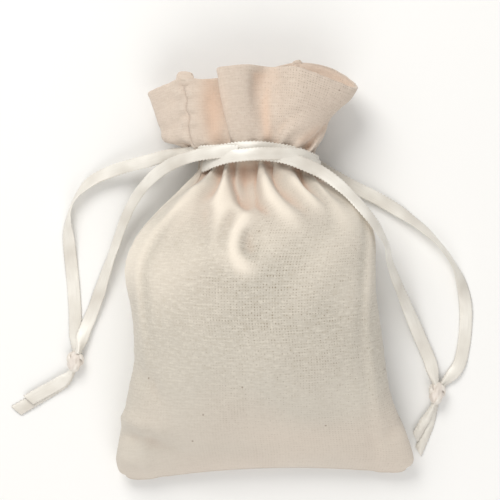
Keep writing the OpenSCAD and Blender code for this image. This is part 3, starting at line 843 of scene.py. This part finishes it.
def band(name, centre, side, face, along, material, curl=0.24, closed=False, full=1.0, slant=0.0, calm=1.0):
    """A woven ribbon with small loops along both edges. full is its share of the whole width, which is
    less where a knot gathers it, slant cuts its far end at an angle, and calm is how much it waves."""
    full = np.broadcast_to(full, along.shape)[:, None]
    across, edge = ACROSS[None], np.abs(ACROSS) == 1
    wave = (0.5 + 0.5 * np.cos(2 * math.pi * along / PICOT_MM))[:, None]
    loops = np.sign(across) * np.where(edge, 1.0, 0.0) * (PICOT_OUT * (0.15 + 0.85 * wave))
    wide = across * ((RIBBON_W / 2 - PICOT_OUT) * full) + loops
    curl = curl + 1.1 * (1 - full)
    rng = np.random.default_rng(sum(map(ord, name)))
    ph = rng.random(4) * 2 * math.pi
    k = 2 * math.pi / (PICOT_MM * round(along[-1] / PICOT_MM)) if closed else 2 * math.pi / along[-1]
    bow = 0.65 + calm * (0.5 * np.sin(3 * k * along + ph[0]) + 0.3 * np.sin(7 * k * along + ph[1]))
    tip = 0.5 * np.sin(5 * k * along + ph[2]) + 0.5 * np.sin(11 * k * along + ph[3])
    lift = curl * (bow[:, None] * (1 - across ** 2) + 0.45 * calm * tip[:, None] * across)
    mid = centre[:, None] + side[:, None] * wide[..., None] + face[:, None] * lift[..., None]
    if slant:
        ahead = unit(centre[-1] - centre[-2])
        mid += ahead * (slant * across * smooth((along - along[-1] + 3) / 3)[:, None])[..., None]
    off = face[:, None] * (RIBBON_T / 2 * np.where(edge, 0.5, 1.0))[None, :, None]
    flat = np.broadcast_arrays(across * RIBBON_W / 2, along[:, None], np.zeros_like(wide))
    cloth = np.stack(flat, -1)
    top, low, cloth = (grid.transpose(1, 0, 2)[::-1] for grid in (mid + off, mid - off, cloth))
    return shell(name, top, low, cloth, material, closed)


def strand(name, material):
    q, along = open_curve(ROUTES[name], 0.17)
    side, face = ribbon_frame(q)
    # a ribbon held at both ends is never quite flat
    rng = np.random.default_rng(len(name) * 7 + 3)
    twist = 0.10 * np.sin(2 * math.pi * (along / 17.0 + rng.random()))
    c, s = np.cos(twist)[:, None], np.sin(twist)[:, None]
    side, face = side * c + face * s, face * c - side * s
    is_tail = name.endswith("tail")
    if is_tail and name.startswith("left"):
        full, slant = 0.36 + 0.64 * smooth(along / 5.0), 0.5
    elif is_tail:
        full, slant = 0.34 + 0.36 * smooth(along / 6.0), -0.7
    else:
        full, slant = 0.42 + 0.58 * smooth((along[-1] - along) / 5.0), 0.0
    ob = band(name + "_satin", q[:, :3], side, face, along, material, full=full, slant=slant,
              calm=0.2 if is_tail else 1.0)
    return ob, q[:, :3], along[-1]


TURN_STEPS = 560


def neck_loop(name, y, off):
    """A ribbon right round the neck, from its y and its distance off the cloth at each angle."""
    phi = round_angles(TURN_STEPS)
    neck = np.full(len(phi), float(NECK_V))
    c = sack_point(neck, phi, 0.0)
    out = sack_point(neck, phi, 1.0) - c
    out[:, 1] = 0
    out = unit(out)
    p = c + out * off[:, None]
    p[:, 0] -= neck_shift(c[:, 0])
    p[:, 1] = y
    d = np.roll(p, -1, 0) - p
    along = np.r_[0, np.cumsum(np.linalg.norm(d, axis=1))][:-1]
    total = along[-1] + np.linalg.norm(d[-1])
    along *= PICOT_MM * round(total / PICOT_MM) / total
    t = unit(np.roll(p, -1, 0) - np.roll(p, 1, 0))
    side = unit(np.cross(out, t))
    face = np.cross(t, side)
    face = np.where((face * out).sum(1, keepdims=True) < 0, -face, face)
    return band(name, p, side, face, along, satin, curl=0.32, closed=True)


make_camera()
satin = satin_material()
muslin = muslin_material()
thread = thread_material()
strands = {name: strand(name, satin) for name in ROUTES}


# ------------------------------------------------------------------ the cloth
PANEL_T, ROLL_R = 0.28, 0.42       # thickness of the cloth, and half that of the rolled rim
STEPS, QUICK_STEPS = 400, 100


def relaxed_cloth():
    start = start_shape()
    return press_folds(relax(start, STEPS), start)


def seam_details(p):
    """Draws the seams in a little, puckers them, and lets the allowances show through as soft ridges."""
    n = unit(normals(p))
    r = np.arange(ROWS)[:, None] * ROW_MM
    c = np.arange(COLS)[None] * COL_MM
    in_frill = r > BODY
    puckers = (np.sin(2 * math.pi * r / 2.7 + 1.4 * np.sin(2 * math.pi * r / 9.1))
               + 0.5 * np.sin(2 * math.pi * (r / 4.3 + 0.3)))
    sway = 0.22 * np.sin(2 * math.pi * r / 5.4) * in_frill
    across = unit(np.roll(p, -1, 1) - np.roll(p, 1, 1))
    for centre in (0.0, HALF * COL_MM):
        d = np.abs((c - centre + WIDTH / 2) % WIDTH - WIDTH / 2)
        draw = np.where(in_frill, 0.5, 0.16) * np.exp(-(d / 0.8) ** 2)
        pucker = np.where(in_frill, 0.30, 0.04) * puckers * np.exp(-((d - 1.3) / 1.1) ** 2)
        ridge = 0.26 * np.exp(-((d - 8.2) / 1.3) ** 2) - 0.20 * np.exp(-((d - 10.6) / 1.5) ** 2)
        out = pucker + ridge * smooth((BODY - 12 - r) / 8) - draw
        p = p + n * out[..., None] + across * (sway * np.exp(-(d / 1.5) ** 2))[..., None]
    # the frill's lower left edge rests against the ribbons that leave there
    lift = 1.2 * np.exp(-((p[..., 1] - 30.0) / 1.3) ** 2) * smooth((-16.0 - p[..., 0]) / 2.5)
    p[..., 1] += lift * (r > BODY + 0.5)
    p = sew_bottom(p)
    p[..., 2] = np.maximum(p[..., 2], 0.02)
    return p


def fold_shade(p):
    """How much painted shade each place takes, up to 1, in the valleys of the cloth and the frill's painted
    glow, or painted highlight where it stands up as a ridge, down to -1.
    """
    n = unit(normals(p))
    near, wide = soften(p, 1.6, 1.2), soften(p, 3.0, 3.0)
    narrow = np.clip(((near - p) * n).sum(-1) / 0.8, 0, 1) ** 1.5
    broad = np.clip((((wide - p) * n).sum(-1) - 0.1) / 1.8, 0, 1)
    shade = np.clip(0.75 * narrow + 0.55 * broad, 0, 1)
    shade[NECK + 6:] *= 0.55
    # the frill's painted glow rides on the painted shade
    shade[NECK + 1:] = np.maximum(shade, fold_depth(p, n, GLOWS))[NECK + 1:]
    shade[:NECK] *= 0.3 + 0.7 * smooth((np.arange(NECK) - 76) / 12)[:, None]
    # ridges of the body take painted highlight
    proud = np.clip((((p - wide) * n).sum(-1) - 0.12) / 0.8, 0, 1)
    rows = np.arange(ROWS)
    return shade - proud * (smooth((rows - 40) / 20) * (rows < NECK))[:, None]


def cloth_at(rows, cols, shade):
    u, v = np.meshgrid(np.asarray(cols) * COL_MM, np.asarray(rows) * ROW_MM)
    return np.stack([u, v, shade], -1)


def roll(rim, n, t, r):
    """Rows that carry the cloth over its folded rim and down inside."""
    mid = rim - n * ROLL_R
    turns = np.radians((30, 65, 100, 140, 180))
    return np.stack([mid + n * (r * math.cos(a)) + t * (r * math.sin(a)) for a in turns])


def build_panels(p):
    """The front and the back, each rolled over at the rim, with the hem that hangs down inside it."""
    shade = fold_shade(p)
    n = unit(blurred(unit(normals(p)), blur_matrix(ROWS, 0.6, False), blur_matrix(COLS, 1.0, True)))
    t = unit(p[-1] - p[-3])
    outer = np.concatenate([p, roll(p[-1], n[-1], t, ROLL_R)])
    inner = np.concatenate([p - n * PANEL_T, roll(p[-1], n[-1], t, ROLL_R - PANEL_T)])
    rows = np.r_[np.arange(ROWS), ROWS - 1 + np.linspace(0.3, 1.5, 5)]
    shades = np.concatenate([shade, np.repeat(shade[-1:], 5, 0)])
    hem = np.arange(ROWS - 1, NECK + 1, -1)
    near, far = p - n * (2 * ROLL_R - PANEL_T), p - n * (2 * ROLL_R)
    made = []
    for side, cols in (("front", np.arange(0, HALF + 1)), ("back", np.arange(HALF, COLS + 1))):
        k = cols % COLS
        # the hem facing's third value is a fixed share of painted shade
        place, hem_place = cloth_at(rows, cols, shades[:, k]), cloth_at(hem, cols, 0.3 + 0 * shade[hem][:, k])
        made.append(shell(side + "_cloth", outer[:, k], inner[:, k], place, muslin))
        made.append(shell(side + "_hem", far[hem][:, k], near[hem][:, k], hem_place, muslin))
    return made


ALLOWANCE_TOP, ALLOWANCE_UNDER = 0.40, 0.80      # depths of its two faces below the cloth's, in mm
STITCH_GAP = 0.45


def allowance(name, rows, cols):
    """The cloth left beyond a seam, a strip inside the sack over the given rows and columns."""
    n = unit(normals(cloth))
    k = np.asarray(cols) % COLS
    grid, m = cloth[rows][:, k], n[rows][:, k]
    a, b = grid - m * ALLOWANCE_TOP, grid - m * ALLOWANCE_UNDER
    # the allowance's third value is a fixed share of painted shade
    return shell(name, a, b, cloth_at(rows, cols, 0.4 + 0 * a[..., 0]), muslin)


def on_grid(field, places):
    """A field's values at places of (row, column) between the cloth's own."""
    r, c = places[:, 0], places[:, 1]
    i, j = np.floor(r).astype(int), np.floor(c).astype(int)
    fr, fc = (r - i)[:, None], (c - j)[:, None]
    i2, j2 = np.minimum(i + 1, ROWS - 1), (j + 1) % COLS
    return ((field[i, j % COLS] * (1 - fr) + field[i2, j % COLS] * fr) * (1 - fc)
            + (field[i, j2] * (1 - fr) + field[i2, j2] * fr) * fc)


def stitches(name, places, depth, length=1.5, thick=0.32):
    """Single stitches lying along a line of (row, column) places, each a short thread with pressed ends."""
    places = np.asarray(places, float)
    face = unit(on_grid(unit(normals(cloth)), places))
    line = on_grid(cloth, places) - face * depth
    along = lengths_along(line)
    points, faces, at = [], [], []
    size = thick / 2 * np.array([0.35, 0.9, 1, 1, 0.9, 0.35])[:, None]
    ends = ((0, (3, 2, 1, 0)), (0, (5, 4, 3, 0)), (5, (0, 1, 2, 3)), (5, (0, 3, 4, 5)))
    for start in np.arange(0.3, along[-1] - length, length + STITCH_GAP):
        want = np.linspace(start, start + length, 6)
        mid, up = at_lengths(want, along, line), at_lengths(want, along, face)
        t = unit(np.gradient(mid, axis=0))
        side = unit(np.cross(t, up))
        up = np.cross(side, t)
        base = len(points)
        for i in range(6):
            for a in np.arange(6) * math.pi / 3:
                points.append(mid[i] + (side[i] * math.cos(a) + up[i] * math.sin(a)) * size[i])
                at.append((0, want[i], 0))
        for i in range(5):
            for a in range(6):
                b = (a + 1) % 6
                faces.append((base + i * 6 + a, base + i * 6 + b, base + i * 6 + 6 + b, base + i * 6 + 6 + a))
        faces += [tuple(base + i * 6 + o for o in order) for i, order in ends]
    return new_object(name, points, faced_out(np.array(points), np.array(faces)), at, thread)


cloth = seam_details(relaxed_cloth())
front_cloth, front_hem, back_cloth, back_hem = build_panels(cloth)


# ------------------------------------------------------------------ ribbon turns at the neck
def round_neck(front, back):
    """Values at each angle round the neck, given over x in front and behind, softened at their corners."""
    phi = round_angles(TURN_STEPS)
    x = neck_x(phi)
    values = np.where(np.sin(phi) > 0, np.interp(x, *front), np.interp(x, *back))
    return blur_matrix(len(values), len(values) / 90, True) @ values


left_turn_y = round_neck(
    ((-16, -10.5, -4.9, -0.8, 4, 8.5, 11.5, 13.6), (29.0, 29.6, 30.4, 30.3, 29.6, 28.9, 27.8, 27.0)),
    ((-16, 13.6), (29.0, 27.2)))
left_turn_off = 0.12 + 0.05 * np.sin(5 * round_angles(TURN_STEPS))
right_turn_y = round_neck(
    ((-16, -12.7, -8.4, -1.8, 3.4, 8.2, 10.6, 12.2, 13.6),
     (26.0, 26.9, 28.2, 28.9, 28.9, 28.5, 27.6, 26.6, 25.8)),
    ((0,), (25.9,)))
right_turn_off = round_neck(
    ((-16, -14, -12.4, -9, -4, 3, 9, 13.6), (-0.9, -0.3, 0.8, 1.5, 1.5, 1.25, 1.1, 0.5)),
    ((-16, -12, 13.6), (-0.9, 0.4, 0.5)))
left_turn = neck_loop("left_ribbon_turn", left_turn_y, left_turn_off)
right_turn = neck_loop("right_ribbon_turn", right_turn_y, right_turn_off)


# ------------------------------------------------------------------ knots
def overhand_knot(name, place, axis, size):
    """An overhand knot pulled tight: one ribbon wrapped over itself three times round a crumpled core."""
    turn = math.radians(axis)
    rot = np.array([[math.cos(turn), -math.sin(turn), 0], [math.sin(turn), math.cos(turn), 0], [0, 0, 1]])

    def put(local):
        return (local * np.array(size)) @ rot.T + np.array(place)

    # the core: two strands pressed together
    ang, h = np.meshgrid(round_angles(40), np.linspace(-1, 1, 25))
    r = 0.80 * np.sqrt(np.clip(1 - h ** 2, 0.015, 1))
    r = r * (1 + 0.10 * np.cos(3 * ang + 5 * h) + 0.05 * np.cos(8 * ang - 3 * h))
    core = np.stack([r * np.cos(ang), h * 1.02, r * np.sin(ang)], -1)[::-1]
    # the core's third value is a large share of painted shade
    at = np.stack([ang * 1.5, h * 3, 0 * h + 0.9], -1)[::-1]
    core_skin = skin(put(core), put(core * [0.03, 1, 0.03]), at, closed=True)
    # the wrap: a trefoil, flat against the core
    t = round_angles(240)
    path = np.stack([np.sin(t) + 2 * np.sin(2 * t), (np.cos(t) - 2 * np.cos(2 * t)) * 1.05,
                     -1.5 * np.sin(3 * t)], -1) / 3.35
    path[:, 2] += 0.04 * np.sin(7 * t)
    ahead = unit(np.roll(path, -1, 0) - np.roll(path, 1, 0))
    out = unit(path * np.array([1, 0.8, 1.3]))
    side = unit(np.cross(out, ahead))
    out = np.cross(ahead, side)
    out = np.where((out * path).sum(1, keepdims=True) < 0, -out, out)
    w, t = np.linspace(-1, 1, 9)[None], t[:, None]
    half = 0.33 + 0.06 * np.sin(2 * t + 0.7)
    bow = 0.16 * (1 - w ** 2) + 0.03 * np.sin(5 * t + 3 * w)
    top = path[:, None] + side[:, None] * (w * half)[..., None] + out[:, None] * bow[..., None]
    low = top - out[:, None] * 0.10
    # the wrap's third value is its share of painted shade, more at its edges
    at = np.stack(np.broadcast_arrays(w * 1.1, t * 1.6, 0.35 + 0.3 * w ** 2), -1)
    top, low, at = (grid.transpose(1, 0, 2) for grid in (top, low, at))
    wrap_skin = skin(put(top), put(low), at, closed=True)
    points, faces, at = zip(core_skin, wrap_skin)
    faces = np.concatenate([faces[0], faces[1] + len(points[0])])
    points = np.concatenate(points)
    points[:, 2] = np.maximum(points[:, 2], 0.05)
    return new_object(name, points, faces, np.concatenate(at), satin)


left_knot = overhand_knot("left_overhand_knot", (-45.7, -20.4, 2.0), -14, (2.1, 2.45, 1.8))
right_knot = overhand_knot("right_overhand_knot", (41.1, -28.0, 2.2), -12, (2.1, 2.6, 2.0))

# ------------------------------------------------------------------ what is inside
side_rows = np.arange(3, NECK - 8)
left_allowance = allowance("left_allowance", side_rows, HALF + np.arange(0, 9))
right_allowance = allowance("right_allowance", side_rows, np.arange(0, 9))
bottom_allowance = allowance("bottom_allowance", np.arange(1, 6), np.arange(14, HALF - 13))
SEAM_DEPTH, HEM_LIFT = 0.95, 0.05
left_thread = stitches("left_seam_thread", [(r, HALF + 1.6) for r in side_rows], SEAM_DEPTH)
right_thread = stitches("right_seam_thread", [(r, 1.6) for r in side_rows], SEAM_DEPTH)
bottom_thread = stitches("bottom_seam_thread", [(2.5, c) for c in range(16, HALF - 15)], SEAM_DEPTH)
front_places, back_places = ([(NECK + 0.4, c) for c in np.arange(first + 2, first + HALF - 2, 0.5)]
                             for first in (0, HALF))
front_hem_thread = stitches("front_hem_thread", front_places, -HEM_LIFT, 1.1, 0.22)
back_hem_thread = stitches("back_hem_thread", back_places, -HEM_LIFT, 1.1, 0.22)


def tab(name, col, tall, wide):
    """The thick folded end of a side seam, standing above the rim."""
    n = unit(normals(cloth))[-1, col]
    base = cloth[-1, col] - n * ROLL_R
    t = unit(cloth[-1, col] - cloth[-4, col])
    side = unit(np.cross(t, n))
    out = np.cross(side, t)
    a = round_angles(24)
    rows = []
    for h, k in ((-1.0, 0.5), (-0.4, 0.9), (0.0, 1.0), (0.45, 0.95), (0.8, 0.78), (0.95, 0.5), (1.0, 0.12)):
        x = np.sign(np.cos(a)) * np.abs(np.cos(a)) ** 0.6 * wide / 2 * k
        y = np.sin(a) * 0.42 * k + 0.36 * smooth((h + 1) / 0.6)
        rows.append(base + t * (tall * h) + side * x[:, None] + out * y[:, None])
    grid = np.stack(rows)
    # v past the rim gives the tab the frill's painted shade
    up = 100 + np.linspace(0, 2, len(rows))[:, None]
    at = np.stack(np.broadcast_arrays(a[None] * 0.6, up, 0 * grid[..., 0]), -1)
    core = grid.mean(1, keepdims=True)
    return shell(name, grid, core + (grid - core) * 0.02, at, muslin, closed=True)


left_tab = tab("left_seam_end", HALF, 1.9, 4.4)
right_tab = tab("right_seam_end", 0, 1.1, 2.5)

# ------------------------------------------------------------------ what each piece is
SACK = [
    (front_cloth, "front_panel", "muslin"), (back_cloth, "back_panel", "muslin"),
    (front_hem, "front_hem_facing", "muslin"), (back_hem, "back_hem_facing", "muslin"),
    (left_allowance, "left_seam_allowance", "muslin"), (right_allowance, "right_seam_allowance", "muslin"),
    (bottom_allowance, "bottom_seam_allowance", "muslin"),
    (left_tab, "left_seam_tab", "muslin"), (right_tab, "right_seam_tab", "muslin"),
    (left_thread, "left_side_stitching", "thread"), (right_thread, "right_side_stitching", "thread"),
    (bottom_thread, "bottom_stitching", "thread"), (front_hem_thread, "front_hem_stitching", "thread"),
    (back_hem_thread, "back_hem_stitching", "thread"),
    (left_turn, "left_ribbon_neck_turn", "ribbon"), (right_turn, "right_ribbon_neck_turn", "ribbon"),
]
for ob, cad, slot_name in SACK:
    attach(ob, "sack")
    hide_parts(cad)
for side, knot in (("left", left_knot), ("right", right_knot)):
    body = side + "_drawstring"
    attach(knot, body)
    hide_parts(side + "_knot")
    for cad in [name for name in strands if name.startswith(side)]:
        ob = strands[cad][0]
        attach(ob, body)
        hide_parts(cad)
    for where in ("front", "back"):
        ob, path, length = strands[f"{side}_ribbon_{where}_strand"]

floor_and_light()
bpy.context.scene.view_settings.view_transform = "Standard"
